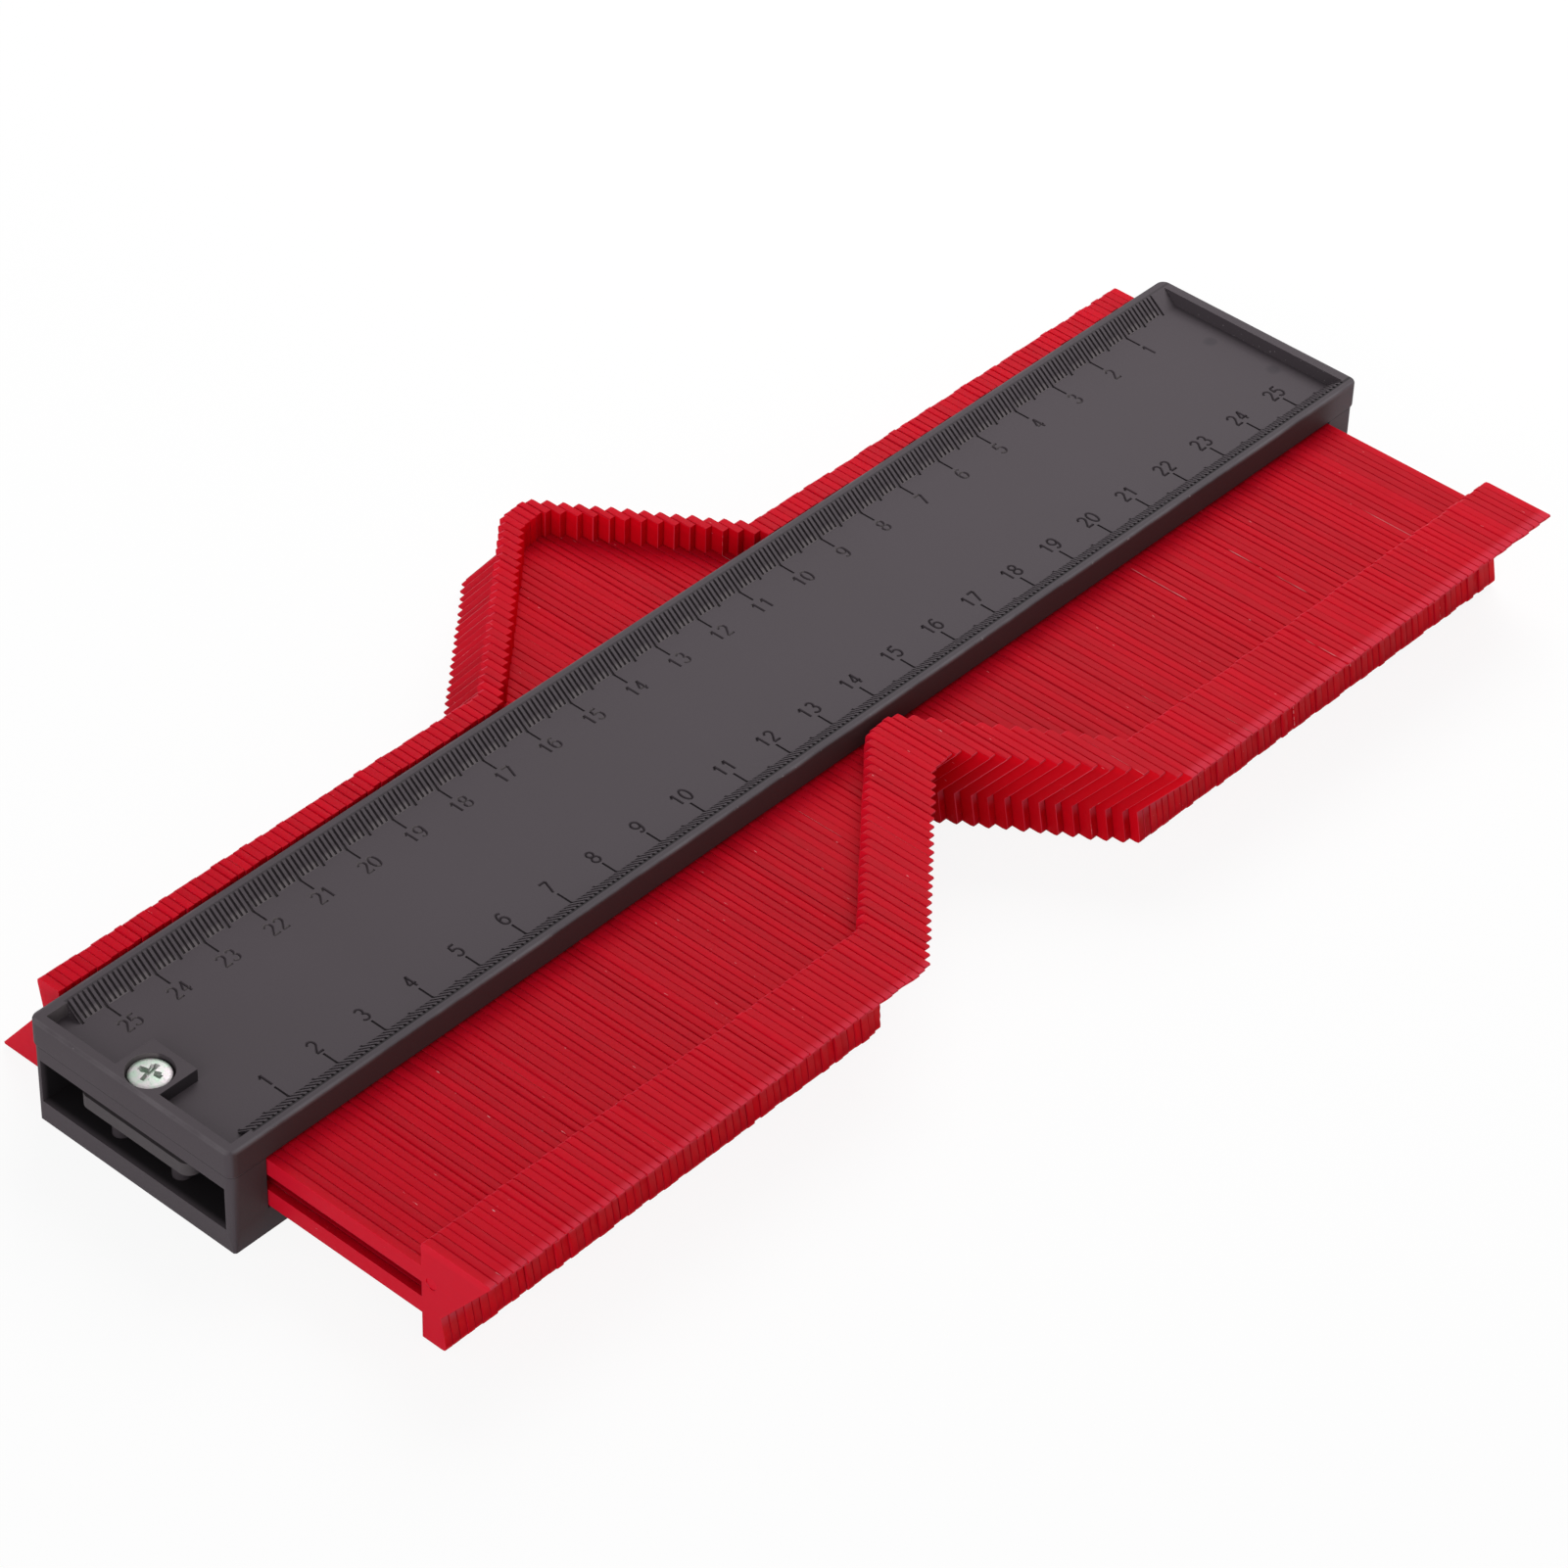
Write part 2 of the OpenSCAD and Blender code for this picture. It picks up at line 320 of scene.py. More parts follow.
def charcoal_plastic():
    """Satin charcoal moulding with a fine grain: painted shade and a warm painted bounce light from the red
    teeth on its long walls, painted shade nearly black deep in the end chambers, painted shade in the
    engraved marks, on the pad's near side and on the near slope, painted light on the far slope and on the
    long walls beyond the row of teeth, and a painted highlight with wear along its edges."""
    f = Finish(bpy.data.materials.new("charcoal_plastic"))
    x, y, z = f.axes()
    facing_y = f.facing(1)
    end, side = abs(x), abs(y)
    in_x, in_y, in_z = HALF_L - end, HALF_W - side, TOP_Z - z
    near = y.rise(1.0, -1.0)
    on_floor = side.rise(SLOPE_FOOT_Y, SLOPE_FOOT_Y - 0.1)

    # The marks: what lies below the floor and the slopes, where painted shade darkens the grooves
    slope_z = FLOOR_Z + RECESS_D * ((side - SLOPE_FOOT_Y) / SLOPE_W).greater(0.0)
    depth = slope_z - z
    on_rules = side.rise(RIM_Y + 0.7, RIM_Y + 0.6) * x.rise(SLOPE_START - RIM_X - 0.1, SLOPE_START - RIM_X)
    engraved = depth.rise(0.05, 0.25) * depth.rise(0.9, 0.6) * on_rules

    # Wear and painted highlight: the outer edges worn and painted paler as a highlight, chipped along them,
    # and scuffed on the recess's end walls
    edge_gap = (in_x + in_z).lesser(in_y + in_z).lesser(in_x + in_y)
    wear_and_highlight = edge_gap.rise(0.75, 0.15) * f.noise(9, 3.0).rise(0.3, 0.7)
    chip = edge_gap.rise(0.5, 0.1) * f.noise(0.7, 3.0, (1.6, 1.6, 1)).rise(0.66, 0.74)
    above_floor = z.rise(FLOOR_Z, FLOOR_Z + 0.1)
    end_wall = abs(f.facing(0)).rise(0.8, 0.95) * above_floor * in_x.rise(RIM_W - 0.5, RIM_W - 0.3)
    scuff = end_wall * f.noise(0.5, 2.0).rise(0.68, 0.74)

    # The faces painted lighter and darker for how light falls on them: the long walls, the walls beyond the
    # row's end, the pad's near side, the slopes and the chambers; the joint and the sink marks have a tone of
    # their own
    on_slope = in_y.rise(RIM_W - 0.3, RIM_W) * z.rise(FLOOR_Z - 0.4, FLOOR_Z - 0.3)
    near_slope = facing_y.rise(0.4, 0.55) * on_slope * near
    far_slope = facing_y.rise(-0.4, -0.55) * on_slope * (1 - near)
    row_end = x.rise(ROW_END - 4, ROW_END + 4)
    wall = abs(facing_y).rise(0.6, 0.95) * in_y.rise(0.6, 0.1)
    pad_side = facing_y.rise(-0.6, -0.9) * side.rise(PAD_HALF_W + 0.3, PAD_HALF_W + 0.1) * above_floor
    joint = z.rise(CHAMBER_Z - 0.2, CHAMBER_Z - 0.05) * z.rise(CHAMBER_Z + 0.2, CHAMBER_Z + 0.05)
    first_sink, second_sink = [soft_spot(x, y, spot) for spot in SINK_MARKS]
    sunk = first_sink.greater(second_sink) * z.rise(FLOOR_Z - 0.2, FLOOR_Z - 0.1)
    in_window = side.rise(WINDOW_HALF_W + 0.05, WINDOW_HALF_W - 0.05) * in_x.rise(0.25, 1.6)
    in_window = in_window * z.rise(WINDOW_FOOT_Z - 0.1, WINDOW_FOOT_Z) * z.rise(CHAMBER_Z + 0.1, CHAMBER_Z)
    from_peg = (end - PEG_X) * (end - PEG_X) + (side - PEG_Y) * (side - PEG_Y)
    chamber_shade = in_window * (1 - 0.6 * from_peg.rise(2.7, 2.4))

    cloud = f.noise(26, 3.0)
    grain = f.noise(0.35, 2.0)
    base = f.mix(cloud, linear(73, 66, 70), linear(81, 74, 79))
    # Painted shade with a warm painted bounce light from the teeth on the long walls, and a painted pool of
    # light on them beyond the end of the row
    base = f.mix(wall * (1 - row_end) * 0.7, base, linear(63, 42, 41))
    base = f.mix(wall * row_end * 0.5, base, linear(106, 98, 101))
    base = f.mix(joint * 0.6, base, linear(20, 18, 19))
    # Painted shade on the pad's near side
    base = f.mix(pad_side * 0.6, base, linear(26, 25, 27))
    base = f.mix(sunk * 0.35, base, linear(40, 38, 44))
    # Painted shade on the near slope, and painted light on the far slope
    base = f.mix(near_slope * 0.3, base, linear(44, 40, 42))
    base = f.mix(far_slope * 0.9, base, linear(109, 102, 104))
    # Painted shade in the engraved marks, deeper on the near side and lighter on the floor
    base = f.mix(engraved * (0.4 + 0.35 * near) * (1 - 0.35 * on_floor), base, linear(26, 23, 25))
    # Painted highlight, with patches of wear, along the outer edges
    base = f.mix(wear_and_highlight * 0.42, base, linear(128, 122, 126))
    base = f.mix(chip.greater(scuff) * 0.5, base, linear(176, 172, 174))
    # Painted shade, nearly black, deep in the end chambers, a little less around the peg
    base = f.mix(chamber_shade * 0.88, base, linear(17, 16, 17))
    f.set({
        "Base Color": base,
        "Roughness": 0.46 + 0.16 * grain + 0.1 * cloud,
        "Specular IOR Level": 0.1,
        "Normal": f.bump(grain, 0.012),
    })
    return f.owner


def spine_plastic():
    """Plain dark moulding, a little rougher than the body."""
    f = Finish(bpy.data.materials.new("spine_plastic"))
    flow = f.noise(5, 3.0, (3, 1, 1))
    grain = f.noise(0.3, 2.0)
    base = f.mix(flow, linear(66, 61, 63), linear(80, 74, 77))
    f.set({
        "Base Color": base,
        "Roughness": 0.55 + 0.15 * grain,
        "Specular IOR Level": 0.2,
        "Normal": f.bump(grain, 0.01),
    })
    return f.owner


def red_plastic():
    """Red moulded teeth: each leaf has its own tone, with painted shade in the seams between the leaves and
    in bands along the row, painted light on the flat sides, painted bounced red light and shade on the lower
    faces, painted highlights on the edges, tips and corners, partly worn, and a few white scratches."""
    f = Finish(bpy.data.materials.new("red_plastic"))
    x, y, z = f.axes()
    along = (x - ROW_START) / TOOTH_PITCH
    leaf = along.floor()
    tone = f.chance(leaf)
    scratched = f.chance(leaf + 0.37).rise(0.92, 0.95)
    seam_shade = f.chance((along + 0.5).floor() + 0.11)

    # The faces of a tooth: its flat sides, its eased edges, its top, its tip and what lies lower
    out, facing_y, up = abs(f.facing(0)), f.facing(1), f.facing(2)
    flat_side = out.rise(0.9, 0.98)
    edge = out.rise(0.15, 0.6) * out.rise(0.98, 0.9)
    outward = (facing_y * y).rise(-2, 2)
    corner = (abs(facing_y) * abs(up)).rise(0.2, 0.45) * (0.3 + 0.7 * outward)
    topside = up.rise(0.3, 0.6)
    tip = topside * y.rise(ROW_TIP_Y + 1.9, ROW_TIP_Y + 0.3)
    lower = up.rise(0.3, -0.1) * (1 - flat_side)
    on_heads = z.rise(HEAD_TOP_Z - 2, HEAD_TOP_Z - 1)
    stepped = x.rise(STEPPED_X[0] - 1, STEPPED_X[0]) * x.rise(STEPPED_X[1] + 1, STEPPED_X[1])

    # Tones along the row, with painted shade and light in bands of slightly tilted teeth, and marks along
    # each tooth
    cloud = f.noise(7, 3.0)
    tilt_shade = f.noise(5, 2.0, (1, 40, 40))
    streak = f.noise(0.45, 3.0, (1, 40, 1))
    rub = f.noise(1.3, 4.0, (1, 12, 1))
    fleck = f.noise(0.5, 2.0, (0.7, 5, 1)).rise(0.75, 0.8)
    white = (edge * scratched * rub.rise(0.54, 0.6)).greater(fleck)

    base = f.mix(cloud, linear(187, 6, 28), linear(199, 11, 34))
    # Painted light on the flat sides of the teeth
    base = f.mix(flat_side * 0.75, base, linear(222, 26, 50))
    # Painted bounced red light on the lower faces, and painted shade on the lower faces and the flat sides in
    # the stepped notch
    base = f.mix(lower * (1 - stepped) * 0.85, base, linear(224, 4, 24))
    base = f.mix(lower * stepped * 0.7, base, linear(196, 0, 12))
    base = f.mix(flat_side * stepped * 0.7, base, linear(214, 0, 16))
    # Each leaf's own tone and streaks, with painted shade and light in bands of slightly tilted teeth, and
    # paler heads
    base = f.shade(base, 0.83 + 0.17 * tone + 0.06 * streak + 0.1 * tilt_shade + 0.08 * on_heads)
    # Painted shade in the seams between the teeth, deeper at some seams than others
    base = f.mix(edge * topside * (0.04 + 0.46 * seam_shade * seam_shade), base, linear(104, 2, 14))
    # Painted highlight on the exposed edges, strongest in the stepped notch
    base = f.mix(edge * (1 - topside) * (0.1 + 0.65 * stepped), base, linear(236, 70, 92))
    # Painted highlight with some wear at the tips and along the corners
    base = f.mix(tip * (0.25 + 0.2 * rub), base, linear(230, 72, 96))
    base = f.mix(corner * (0.4 + 0.4 * rub), base, linear(222, 84, 104))
    base = f.mix(white * 0.5, base, linear(240, 196, 200))
    f.set({
        "Base Color": base,
        "Roughness": 0.34 + 0.14 * streak + 0.08 * tone,
        "Specular IOR Level": 0.035,
        "Subsurface Weight": 0.2,
        "Subsurface Radius": (1.0, 0.06, 0.1),
        "Subsurface Scale": 4 * MM,
        "Normal": f.bump(streak, 0.02),
    })
    return f.owner


def zinc_plate():
    """Bright zinc with a faint tint and fine wear."""
    f = Finish(bpy.data.materials.new("zinc_plate"))
    tint = f.noise(1.6, 3.0)
    wear = f.noise(0.25, 4.0)
    base = f.mix(tint.rise(0.35, 0.65), linear(164, 180, 167), linear(183, 175, 178))
    base = f.mix(wear.rise(0.55, 0.75) * 0.5, base, linear(124, 132, 124))
    f.set({
        "Base Color": base,
        "Metallic": 1.0,
        "Roughness": 0.46 + 0.2 * wear,
        "Normal": f.bump(wear, 0.02),
    })
    return f.owner


def pale_floor():
    """Studio floor: pale to the light that bounces, and white with a soft shadow where it is seen."""
    f = Finish(bpy.data.materials.new("pale_floor"))
    x, y, _ = f.axes()
    away = (x * x + y * y).rise(SHADOW_REACH ** 2, (2 * SHADOW_REACH) ** 2)
    seen = f.seen()
    f.set({
        "Base Color": f.mix(seen, (0.85, 0.85, 0.85, 1.0), (1.0, 1.0, 1.0, 1.0)),
        "Roughness": 0.9,
        "Specular IOR Level": 0.0,
    })
    glow = f.node("ShaderNodeEmission", {}, {"Color": (1.0, 1.0, 1.0, 1.0), "Strength": 1.0})
    shaded = Value(f, f.shader.outputs[0])
    both = f.node("ShaderNodeMixShader", {}, {0: (0.9 + 0.1 * away) * seen, 1: shaded, 2: glow})
    f.feed(f.tree.nodes["Material Output"].inputs["Surface"], both)
    return f.owner


def copy_of(node):
    """A node's shape with its loose triangles merged into whole faces."""
    bm = bmesh.new()
    bm.from_mesh(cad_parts[node].data)
    bmesh.ops.remove_doubles(bm, verts=bm.verts, dist=MERGE_GAP * MM)
    bmesh.ops.dissolve_limit(bm, angle_limit=FLAT_ANGLE, verts=bm.verts, edges=bm.edges)
    return bm


def sharp_edges(bm, wanted):
    """Edges between faces that meet at a clear angle, where a test of the edge holds."""
    return [
        e for e in bm.edges
        if len(e.link_faces) == 2 and e.calc_face_angle() > SHARP_ANGLE and wanted(e)
    ]


def ease(bm, edges, width, segments):
    """Rounds edges off, by a width in millimetres."""
    bmesh.ops.bevel(
        bm, geom=edges, offset=width * MM, offset_type="OFFSET", segments=segments,
        profile=0.5, affect="EDGES", clamp_overlap=True, material=-1,
    )


def make_piece(bm, name, material):
    """An object at the origin from a finished shape."""
    mesh = bpy.data.meshes.new(name)
    bm.to_mesh(mesh)
    bm.free()
    if "custom_normal" in mesh.attributes:
        mesh.attributes.remove(mesh.attributes["custom_normal"])
    mesh.materials.clear()
    mesh.materials.append(material)
    piece = bpy.data.objects.new(name, mesh)
    bpy.context.scene.collection.objects.link(piece)
    return piece


def stand_for(piece, node, body):
    """Smooths a finished piece and puts it in a node's place."""
    piece.data.shade_smooth()
    piece.data.set_sharp_from_angle(angle=SHARP_ANGLE)
    weighted = piece.modifiers.new("weighted_normals", "WEIGHTED_NORMAL")
    weighted.keep_sharp = True
    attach(piece, body)
    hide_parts(node)


def add_block(bm, matrix, size):
    """A block of a given size in millimetres, centred where the matrix says."""
    stretch = Matrix.Diagonal((size[0] * MM, size[1] * MM, size[2] * MM, 1))
    bmesh.ops.create_cube(bm, size=1, matrix=matrix @ stretch)


def at(x, y, z):
    """A shift to a place in millimetres."""
    return Matrix.Translation(Vector((x, y, z)) * MM)


def carve(piece, bm, crossing=False):
    """Cuts the shapes in a bmesh out of a piece. They may cross each other where that is said."""
    mesh = bpy.data.meshes.new("cutter")
    bmesh.ops.recalc_face_normals(bm, faces=bm.faces)
    bm.to_mesh(mesh)
    bm.free()
    cutter = bpy.data.objects.new("cutter", mesh)
    bpy.context.scene.collection.objects.link(cutter)
    cut = piece.modifiers.new("cut", "BOOLEAN")
    cut.operation = "DIFFERENCE"
    cut.solver = "EXACT"
    cut.use_self = crossing
    cut.object = cutter
    graph = bpy.context.evaluated_depsgraph_get()
    carved = bpy.data.meshes.new_from_object(piece.evaluated_get(graph))
    piece.modifiers.clear()
    old = piece.data
    piece.data = carved
    bpy.data.meshes.remove(old)
    bpy.data.objects.remove(cutter)
    bpy.data.meshes.remove(mesh)


def rule_marks():
    """For each rule: its side of the body, and the place and millimetre count of every mark on it."""
    low_x = SLOPE_START - RIM_X + MARK_W / 2
    high_x = RIM_X - MARK_W / 2
    for side, zero_x, step in ((-1, NEAR_ZERO_X, 1), (1, FAR_ZERO_X, -1)):
        span = (high_x - zero_x) if step > 0 else (zero_x - low_x)
        for k in range(int(span) + 1):
            yield side, zero_x + step * k, k


def numbered_marks():
    """The marks of whole centimetres that carry a number."""
    return [mark for mark in rule_marks() if mark[2] % 10 == 0 and 0 < mark[2] <= 10 * NUMBERS]


def slope_marks():
    """Blocks that cut the millimetre marks into both slopes, longer at each fifth."""
    bm = bmesh.new()
    for side, x, k in rule_marks():
        foot = LONG_FOOT if k % 5 == 0 else MARK_FOOT
        length = SLOPE_LENGTH + MARK_RUN_OUT - foot
        middle = foot + length / 2
        y = side * (SLOPE_FOOT_Y + middle * math.cos(SLOPE_ANGLE))
        z = FLOOR_Z + middle * math.sin(SLOPE_ANGLE)
        lift = Matrix.Translation((0, 0, (PROUD - MARK_DEPTH) / 2 * MM))
        turn = Matrix.Rotation(side * SLOPE_ANGLE, 4, "X")
        add_block(bm, at(x, y, z) @ turn @ lift, (MARK_W, length, PROUD + MARK_DEPTH))
    return bm


def arc(x, y, half_w, half_h, start, stop):
    """Points along a part of an ellipse, between two angles in degrees."""
    count = max(3, round(abs(stop - start) / BOW_STEP))
    angles = [math.radians(start + (stop - start) * k / count) for k in range(count + 1)]
    return [(x + half_w * math.cos(a), y + half_h * math.sin(a)) for a in angles]


def digit_strokes(digit):
    """Centre lines of a numeral in a box one wide and one high."""
    ring = arc(0.5, 0.5, 0.5, 0.5, 0, BOW_END)
    hook = arc(0.55, 0.5, 0.52, 0.5, 52, 170) + [(0.0, 0.3)]
    bowl = arc(0.5, 0.31, 0.5, 0.31, 0, BOW_END)
    shapes = {
        "0": [ring],
        "1": [[(0.15, 0.74), (0.55, 0.98)], [(0.6, 1.0), (0.6, 0.0)]],
        "2": [arc(0.5, 0.73, 0.46, 0.27, 170, -35) + [(0.03, 0.03)], [(0.0, 0.0), (1.0, 0.0)]],
        "3": [arc(0.46, 0.76, 0.42, 0.24, 155, -85), arc(0.46, 0.27, 0.52, 0.27, 88, -155)],
        "4": [[(0.74, 0.0), (0.74, 1.0)], [(0.7, 0.97), (0.03, 0.33)], [(0.0, 0.3), (1.04, 0.3)]],
        "5": [
            [(0.94, 1.0), (0.2, 1.0)], [(0.18, 0.98), (0.08, 0.52)], arc(0.46, 0.32, 0.52, 0.32, 138, -150),
        ],
        "6": [hook, bowl],
        "7": [[(0.0, 1.0), (1.0, 1.0)], [(0.98, 0.97), (0.34, 0.0)]],
        "8": [arc(0.5, 0.77, 0.42, 0.23, 0, BOW_END), arc(0.5, 0.26, 0.5, 0.26, 0, BOW_END)],
    }
    if digit == "9":
        return [[(1 - u, 1 - v) for u, v in stroke] for stroke in shapes["6"]]
    return shapes[digit]


def add_number(curve, number, x, y):
    """Strokes of a number centred on x, with its foot at y, that reads along X."""
    words = str(number)
    left = x - (DIGIT_STEP * (len(words) - 1) + DIGIT_W) / 2
    for k, digit in enumerate(words):
        for stroke in digit_strokes(digit):
            spline = curve.splines.new("POLY")
            spline.points.add(len(stroke) - 1)
            loop = len(stroke) > LOOP_POINTS and math.dist(stroke[0], stroke[-1]) < LOOP_GAP
            spline.use_cyclic_u = loop
            for point, (u, v) in zip(spline.points, stroke):
                place = Vector((left + DIGIT_STEP * k + DIGIT_W * u, y + DIGIT_H * v, 0)) * MM
                point.co = (*place, 1)


def number_grooves():
    """Sharp-bottomed grooves along the strokes of all the numbers."""
    curve = bpy.data.curves.new("numbers", "CURVE")
    curve.dimensions = "3D"
    curve.twist_mode = "Z_UP"
    curve.bevel_depth = DIGIT_STROKE / 2 * MM
    curve.bevel_resolution = 0
    curve.use_fill_caps = True
    for side, x, k in numbered_marks():
        inner_y = side * (SLOPE_FOOT_Y - FLOOR_MARK_L - DIGIT_GAP)
        add_number(curve, k // 10, x, inner_y if side < 0 else inner_y - DIGIT_H)
    strokes = bpy.data.objects.new("numbers", curve)
    bpy.context.scene.collection.objects.link(strokes)
    graph = bpy.context.evaluated_depsgraph_get()
    mesh = bpy.data.meshes.new_from_object(strokes.evaluated_get(graph))
    deepen = Matrix.Scale(2 * DIGIT_DEPTH / DIGIT_STROKE, 4, (0, 0, 1))
    mesh.transform(at(0, 0, FLOOR_Z + DIGIT_LIFT) @ deepen)
    bm = bmesh.new()
    bm.from_mesh(mesh)
    bpy.data.objects.remove(strokes)
    bpy.data.curves.remove(curve)
    bpy.data.meshes.remove(mesh)
    bmesh.ops.remove_doubles(bm, verts=bm.verts, dist=DIGIT_MERGE * MM)
    return bm


def floor_marks():
    """Blocks that cut a line into the floor for each whole centimetre."""
    bm = bmesh.new()
    for side, x, k in numbered_marks():
        y = side * (SLOPE_FOOT_Y - FLOOR_MARK_L / 2)
        z = FLOOR_Z + (PROUD - FLOOR_MARK_DEPTH) / 2
        add_block(bm, at(x, y, z), (FLOOR_MARK_W, FLOOR_MARK_L, PROUD + FLOOR_MARK_DEPTH))
    return bm


def is_outer(edge):
    """True for an edge along the body's outer faces, or in one of its upright corners."""
    def outside(vert):
        gaps = HALF_L - abs(vert.co.x) / MM, HALF_W - abs(vert.co.y) / MM
        return min(gaps) < EDGE_BAND or max(gaps) < CORNER_BAND
    return all(outside(vert) for vert in edge.verts)


def top_cover():
    """The ruled cover, with its marks and numbers cut in."""
    bm = copy_of("top_cover")
    ease(bm, sharp_edges(bm, lambda e: not is_outer(e)), INNER_ROUND, 1)
    ease(bm, sharp_edges(bm, is_outer), OUTER_ROUND, 2)
    piece = make_piece(bm, "ruled_cover", body_plastic)
    carve(piece, slope_marks())
    carve(piece, floor_marks())
    carve(piece, number_grooves(), crossing=True)
    stand_for(piece, "top_cover", "body")


def bottom_tray():
    bm = copy_of("bottom_tray")
    ease(bm, sharp_edges(bm, lambda e: not is_outer(e)), INNER_ROUND, 1)
    ease(bm, sharp_edges(bm, is_outer), INNER_ROUND, 2)
    stand_for(make_piece(bm, "tray", body_plastic), "bottom_tray", "body")


def spine_bar():
    bm = copy_of("spine_bar")
    ease(bm, sharp_edges(bm, lambda e: True), INNER_ROUND, 2)
    stand_for(make_piece(bm, "spine", spine_finish), "spine_bar", "body")


def clamp_screw():
    """Domed head on a threaded shank, with a cross recess worn by the driver."""
    low, high = box_of("clamp_screw")
    middle = (low + high) / 2

    def dome_z(r):
        return high.z - SCREW_DOME_R + math.sqrt(SCREW_DOME_R ** 2 - r ** 2)

    dome = [(SCREW_HEAD_R - SCREW_RIM_ROUND) * k / SCREW_DOME_STEPS for k in range(SCREW_DOME_STEPS + 1)]
    profile = [(r, dome_z(r)) for r in dome]
    profile += [(SCREW_HEAD_R, dome_z(SCREW_HEAD_R) - SCREW_RIM_DROP)]
    profile += [(SCREW_HEAD_R, SCREW_SEAT_Z), (SCREW_R, SCREW_SEAT_Z)]
    z = SCREW_SEAT_Z - THREAD_START
    while z > low.z + SCREW_POINT_L:
        profile += [(SCREW_R, z), (SCREW_ROOT_R, z - THREAD_PITCH / 2)]
        z -= THREAD_PITCH
    profile += [(SCREW_ROOT_R, low.z + SCREW_POINT_L), (SCREW_TIP_R, low.z), (0, low.z)]
    bm = bmesh.new()
    verts = [bm.verts.new(Vector((r, 0, z)) * MM) for r, z in profile]
    edges = [bm.edges.new(pair) for pair in zip(verts, verts[1:])]
    bmesh.ops.spin(
        bm, geom=verts + edges, axis=(0, 0, 1), cent=(0, 0, 0),
        angle=math.tau, steps=SCREW_STEPS, use_merge=True,
    )
    bmesh.ops.remove_doubles(bm, verts=bm.verts, dist=SEAM_MERGE * MM)
    bmesh.ops.translate(bm, verts=bm.verts, vec=Vector((middle.x, middle.y, 0)) * MM)
    bmesh.ops.recalc_face_normals(bm, faces=bm.faces)
    piece = make_piece(bm, "screw", zinc)
    for turn, length, width, depth in CROSS_CUTS:
        bm = bmesh.new()
        for quarter in (0, 90):
            spot = at(middle.x, middle.y, high.z) @ Matrix.Rotation(math.radians(turn + quarter), 4, "Z")
            stretch = Matrix.Diagonal((length * MM, width * MM, 2 * depth * MM, 1))
            square = Matrix.Rotation(math.radians(45), 4, "Z")
            bmesh.ops.create_cone(
                bm, cap_ends=True, segments=4, radius1=CROSS_TAPER * math.sqrt(0.5), radius2=math.sqrt(0.5),
                depth=1, matrix=spot @ stretch @ square,
            )
        carve(piece, bm, crossing=True)
    stand_for(piece, "clamp_screw", "body")


def on_side(edge):
    """True for an edge between the flat side of a tooth and its outline."""
    flat = [abs(face.normal.x) > 0.99 for face in edge.link_faces]
    return flat[0] != flat[1]


def leaf_of(vert):
    """Number of the tooth that a vertex belongs to, counted from the screw's end."""
    return math.floor((vert.co.x / MM - ROW_START) / TOOTH_PITCH)


def uneven(leaf, start=0):
    """A steady share from -1 to 1 that jumps about from tooth to tooth."""
    return math.sin(start + UNEVEN_TURN * leaf ** 2)


def round_of(leaf):
    """Width of a tooth's eased edges: each is worn by its own share, and the outer one the most."""
    low, high = TOOTH_ROUND
    return FIRST_ROUND if leaf == 0 else low + (high - low) * (0.5 + 0.5 * uneven(leaf, start=1))


def settle(bm):
    """Lifts or drops each tooth by its own small share of the play it has in the body."""
    for vert in bm.verts:
        vert.co.z += TOOTH_UNEVEN * uneven(leaf_of(vert)) * MM


def pin_mark():
    """A flat disc that cuts the ejector pin's mark."""
    bm = bmesh.new()
    bmesh.ops.create_cone(
        bm, cap_ends=True, segments=24, radius1=PIN_MARK_R * MM, radius2=PIN_MARK_R * MM,
        depth=2 * PIN_MARK_DEPTH * MM,
        matrix=at(ROW_START, PIN_MARK_Y, PIN_MARK_Z) @ Matrix.Rotation(math.pi / 2, 4, "Y"),
    )
    return bm


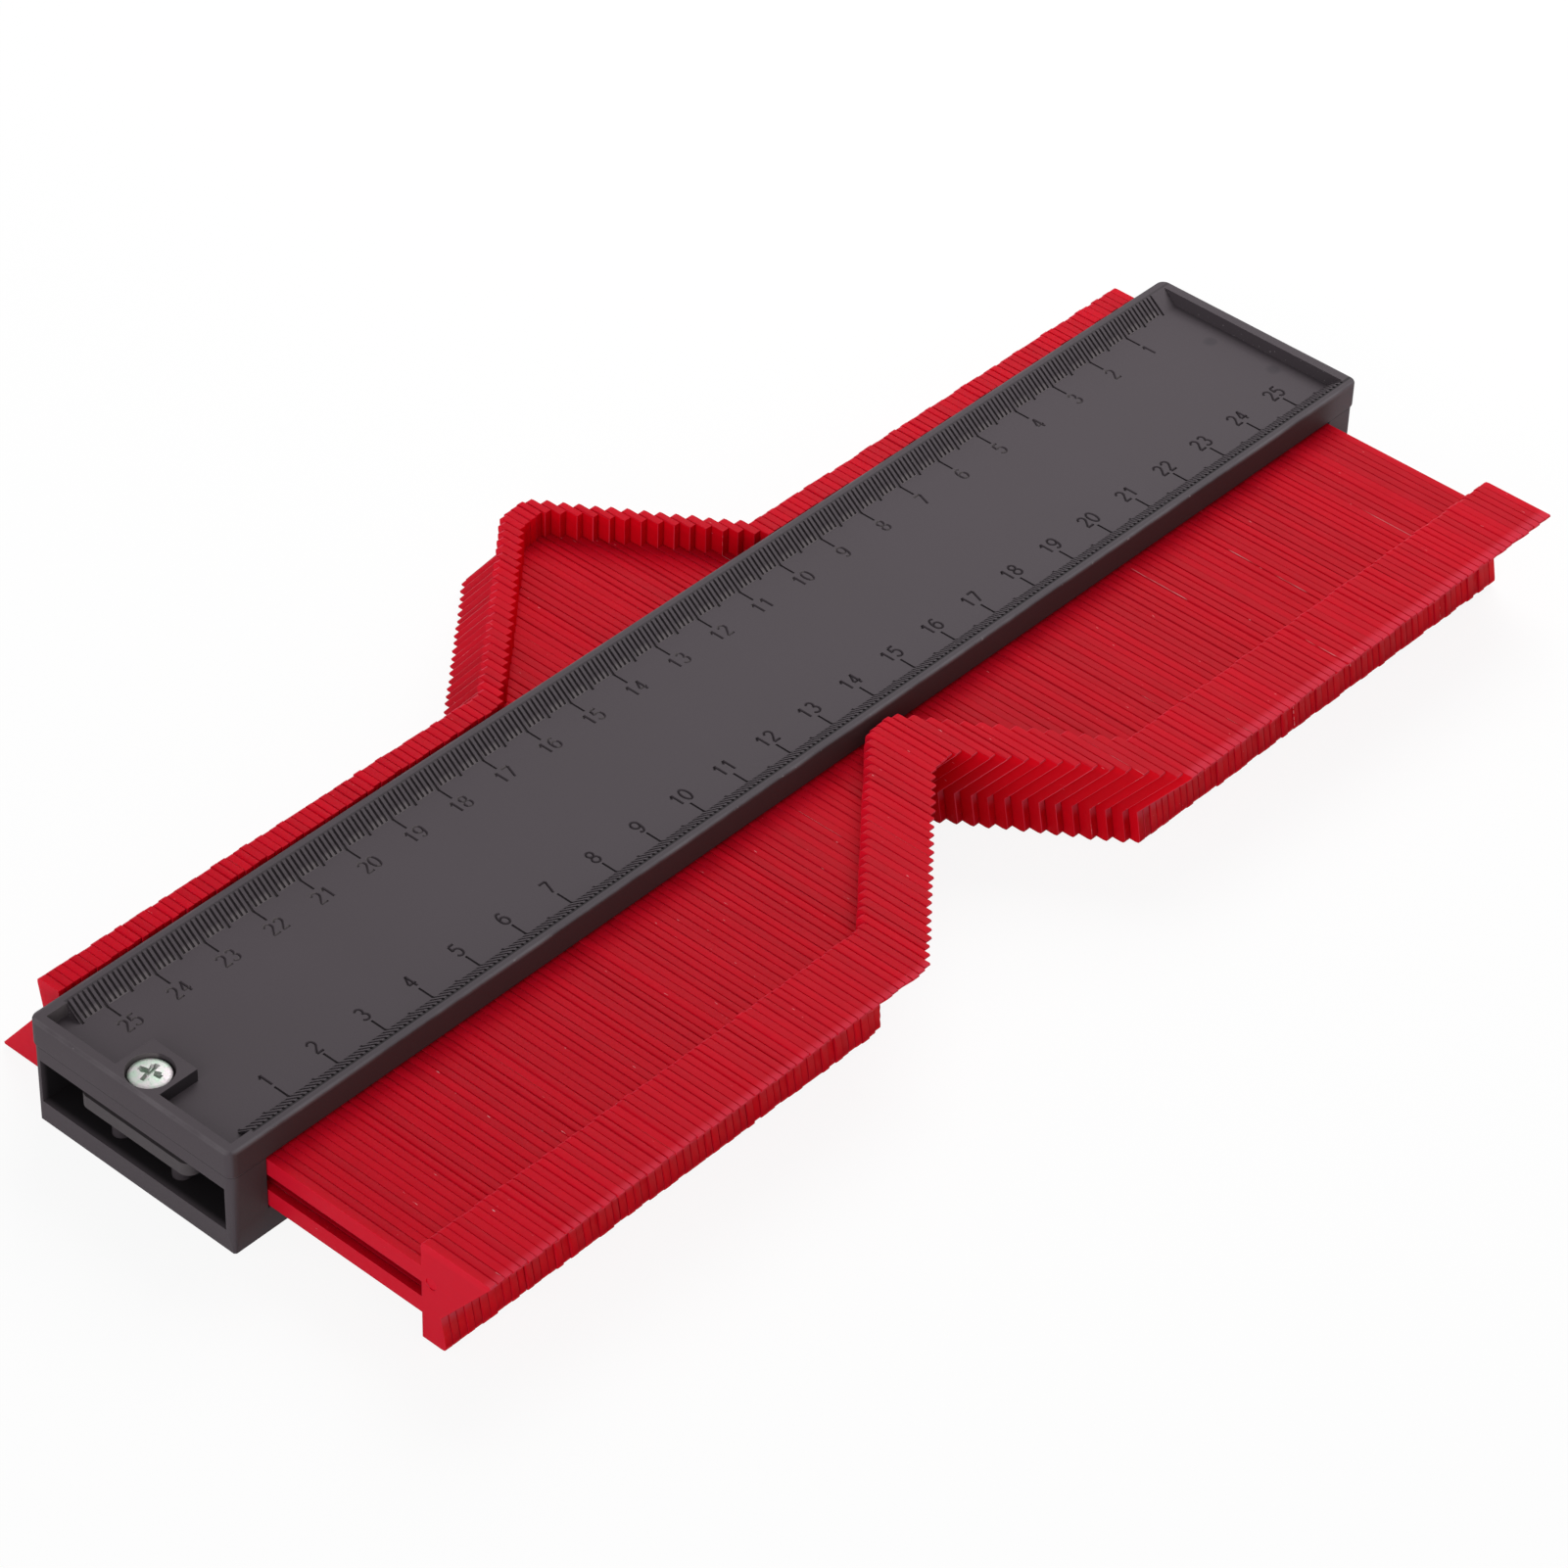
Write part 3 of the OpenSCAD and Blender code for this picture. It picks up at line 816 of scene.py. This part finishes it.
def tooth_groups():
    """The teeth, four to a piece, each with its own rounding and height."""
    for g in range(1, GROUPS + 1):
        node = f"tooth_group_{g:02d}"
        bm = copy_of(node)
        for leaf in range((g - 1) * TEETH_PER_GROUP, g * TEETH_PER_GROUP):
            own = sharp_edges(bm, lambda e: on_side(e) and leaf_of(e.verts[0]) == leaf)
            ease(bm, own, round_of(leaf), 2 if leaf == 0 else 1)
        settle(bm)
        piece = make_piece(bm, f"teeth_{g:02d}", tooth_red)
        if g == 1:
            carve(piece, pin_mark())
        stand_for(piece, node, node)


def studio():
    """Floor, lamps, sky and camera."""
    scene = bpy.context.scene
    bm = bmesh.new()
    bmesh.ops.create_grid(bm, x_segments=1, y_segments=1, size=FLOOR_HALF_M)
    floor = make_piece(bm, "floor", pale_floor())

    for name, (place, width, power, in_gloss) in SOFTBOXES.items():
        lamp = bpy.data.lights.new(name, "AREA")
        lamp.size = width
        lamp.energy = power
        softbox = bpy.data.objects.new(name, lamp)
        softbox.visible_glossy = in_gloss
        softbox.location = place
        softbox.rotation_euler = (-softbox.location).to_track_quat("-Z", "Y").to_euler()
        scene.collection.objects.link(softbox)

    sky = Finish(bpy.data.worlds.new("studio"), "Background")
    sky.set({"Color": (1.0, 1.0, 1.0, 1.0), "Strength": SKY_LEVEL + (1 - SKY_LEVEL) * sky.seen()})
    scene.world = sky.owner

    lens = bpy.data.cameras.new("camera")
    lens.lens = VIEW_LENS
    camera = bpy.data.objects.new("camera", lens)
    turn = (
        Matrix.Rotation(VIEW_AZIMUTH, 4, "Z")
        @ Matrix.Rotation(math.pi / 2 - VIEW_ELEVATION, 4, "X")
        @ Matrix.Rotation(VIEW_ROLL, 4, "Z")
    )
    camera.matrix_world = at(*VIEW_TARGET) @ turn @ at(0, 0, VIEW_DISTANCE)
    scene.collection.objects.link(camera)
    scene.camera = camera
    scene.view_settings.view_transform = "Standard"


body_plastic = charcoal_plastic()
spine_finish = spine_plastic()
tooth_red = red_plastic()
zinc = zinc_plate()

studio()
top_cover()
bottom_tray()
spine_bar()
clamp_screw()
tooth_groups()
